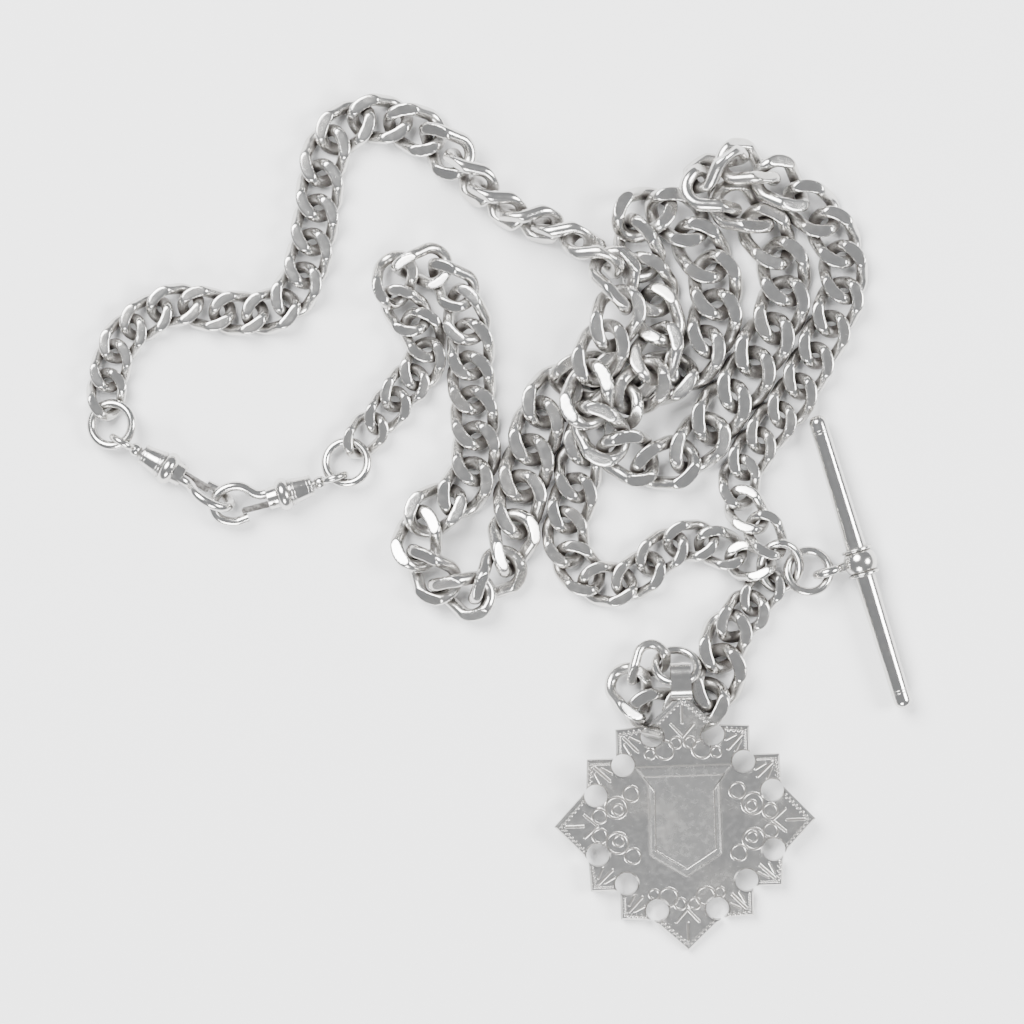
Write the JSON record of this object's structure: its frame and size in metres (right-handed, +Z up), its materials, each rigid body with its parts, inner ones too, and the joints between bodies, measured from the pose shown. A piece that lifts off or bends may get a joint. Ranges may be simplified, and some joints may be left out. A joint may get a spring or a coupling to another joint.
{
  "type": "pocket watch chain",
  "caption": "Silver double Albert watch chain of graduated curb links with swivel clips, T-bar and star fob medal, lying coiled.",
  "frame": {"origin": "on the table, under the middle of the coiled chain's bounding box", "axes": "+Z up from the table; +X towards the T-bar's side, +Y away from the medal"},
  "size_m": [0.1152, 0.1198, 0.0102],
  "materials": {
    "link_silver": "worn sterling silver, filed flats, dark tarnish between the links",
    "bar_silver": "worn polished silver with fine length-wise scratches",
    "medal_silver": "bright-cut engraved silver, tarnished in the cuts",
    "shield_silver": "plain scratched silver shield",
    "gate_steel": "dark oxidised spring gate"
  },
  "bodies": {
    "coil": {"arm_b_links": "link_silver", "clip_a_eye": "link_silver", "clip_b_eye": "link_silver", "end_ring_b": "link_silver", "fall_b_links": "link_silver", "fold_a_links": "link_silver", "hub_ring": "link_silver", "inner_a_links": "link_silver", "knot_b_links": "link_silver", "loop_b_links": "link_silver", "nest_b_links": "link_silver", "outer_a_links": "link_silver", "return_b_links": "link_silver", "rise_b_links": "link_silver", "slope_a_links": "link_silver", "turn_a_links": "link_silver"},
    "arm_a": {"arm_a_links": "link_silver"},
    "end_ring_a": {"end_ring_a": "link_silver"},
    "tail_b": {"tail_b_links": "link_silver"},
    "clip_a": {"clip_a_barrel": "link_silver", "clip_a_knop": "link_silver", "clip_a_hook": "link_silver", "clip_a_pin": "gate_steel"},
    "clip_a_gate": {"clip_a_gate": "gate_steel"},
    "clip_b": {"clip_b_barrel": "link_silver", "clip_b_knop": "link_silver", "clip_b_hook": "link_silver", "clip_b_pin": "gate_steel"},
    "clip_b_gate": {"clip_b_gate": "gate_steel"},
    "bar_ring": {"bar_ring": "link_silver"},
    "bar_collar": {"bar_collar": "bar_silver"},
    "bar_rod": {"bar_rod": "bar_silver", "bar_flange_lower": "bar_silver", "bar_flange_upper": "bar_silver"},
    "drop": {"upper_drop_links": "link_silver", "lower_drop_links": "link_silver"},
    "medal_ring": {"medal_ring": "medal_silver"},
    "medal": {"medal_plate": "medal_silver", "medal_shield": "shield_silver", "medal_bail": "medal_silver"}
  },
  "joints": [
    {"name": "arm_a_swing", "type": "hinge", "parent": "coil", "child": "arm_a", "pos_m": [-0.05635, 0.0155, 0.00102], "axis": [0.8312, 0.5557, 0.0173], "range_deg": [0, 24]},
    {"name": "end_ring_a_tilt", "type": "hinge", "parent": "coil", "child": "end_ring_a", "pos_m": [-0.05266, 0.01183, 0.00126], "axis": [0.5502, -0.8261, -0.1217], "range_deg": [0, 12]},
    {"name": "tail_b_lift", "type": "hinge", "parent": "coil", "child": "tail_b", "pos_m": [0.03624, -0.00612, 0.00194], "axis": [-0.8391, 0.5422, -0.0433], "range_deg": [0, 10]},
    {"name": "clip_a_swivel", "type": "hinge", "parent": "coil", "child": "clip_a", "pos_m": [-0.046, 0.00759, 0.00235], "axis": [0.8713, -0.4907, 0], "range_deg": [-12, 5]},
    {"name": "clip_a_gate", "type": "hinge", "parent": "clip_a", "child": "clip_a_gate", "pos_m": [-0.04442, 0.00703, 0.00171], "axis": [-0.4483, -0.796, -0.4067], "range_deg": [0, 15], "stiffness_Nm_per_rad": 0.0002, "springref_deg": -20.05},
    {"name": "clip_b_swivel", "type": "hinge", "parent": "coil", "child": "clip_b", "pos_m": [-0.0299, 0.00399, 0.00235], "axis": [-0.9523, -0.3051, 0], "range_deg": [-12, 5]},
    {"name": "clip_b_gate", "type": "hinge", "parent": "clip_b", "child": "clip_b_gate", "pos_m": [-0.03126, 0.00283, 0.00223], "axis": [-0.053, 0.1654, -0.9848], "range_deg": [0, 15], "stiffness_Nm_per_rad": 0.0002, "springref_deg": -20.05},
    {"name": "bar_ring_turn", "type": "hinge", "parent": "coil", "child": "bar_ring", "pos_m": [0.04321, -0.00763, 0.00264], "axis": [-0.9314, 0.3316, 0.1499], "range_deg": [0, 12]},
    {"name": "bar_swing", "type": "hinge", "parent": "bar_ring", "child": "bar_collar", "pos_m": [0.04493, -0.00655, 0.00252], "axis": [0, 0, 1], "range_deg": [-15, 3]},
    {"name": "bar_spin", "type": "hinge", "parent": "bar_collar", "child": "bar_rod", "pos_m": [0.0505, -0.00546, 0.0024], "axis": [0.2921, -0.9564, 0], "continuous": true},
    {"name": "drop_swing", "type": "hinge", "parent": "coil", "child": "drop", "pos_m": [0.03608, -0.00809, 0.00252], "axis": [-0.0539, -0.2914, 0.9551], "range_deg": [0, 4]},
    {"name": "medal_ring_swing", "type": "hinge", "parent": "drop", "child": "medal_ring", "pos_m": [0.02162, -0.02069, 0.00191], "axis": [-0.2322, -0.4646, 0.8545], "range_deg": [0, 10]},
    {"name": "medal_flip", "type": "hinge", "parent": "medal_ring", "child": "medal", "pos_m": [0.02693, -0.022, 0.00543], "axis": [-0.9994, -0.0332, 0], "range_deg": [0, 18]}
  ]
}
